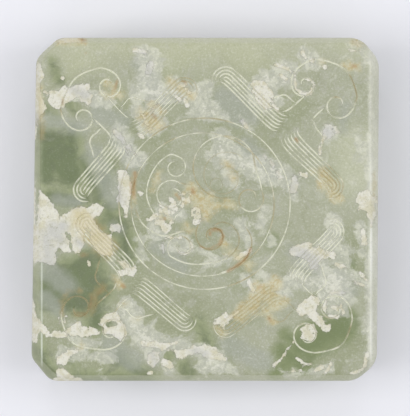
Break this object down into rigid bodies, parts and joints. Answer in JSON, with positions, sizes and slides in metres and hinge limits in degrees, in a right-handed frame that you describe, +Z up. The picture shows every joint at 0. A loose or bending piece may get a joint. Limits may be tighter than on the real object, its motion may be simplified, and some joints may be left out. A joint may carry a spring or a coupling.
{
  "type": "jade box",
  "caption": "Low square jade box with cut corners, a lift-off lid with a carved top, a lip that locates the lid, and a hollow inside for small things.",
  "frame": {"origin": "centre of the underside, on the surface that the box stands on", "axes": "+Z up through the lid, +Y towards the edge that is at the top of the picture, +X to the picture's right"},
  "size_m": [0.0872, 0.086, 0.036],
  "materials": {
    "jade": "polished mottled grey-green jade with a cream altered skin in patches"
  },
  "bodies": {
    "root": {"base": "jade", "lid": "jade"}
  },
  "joints": []
}
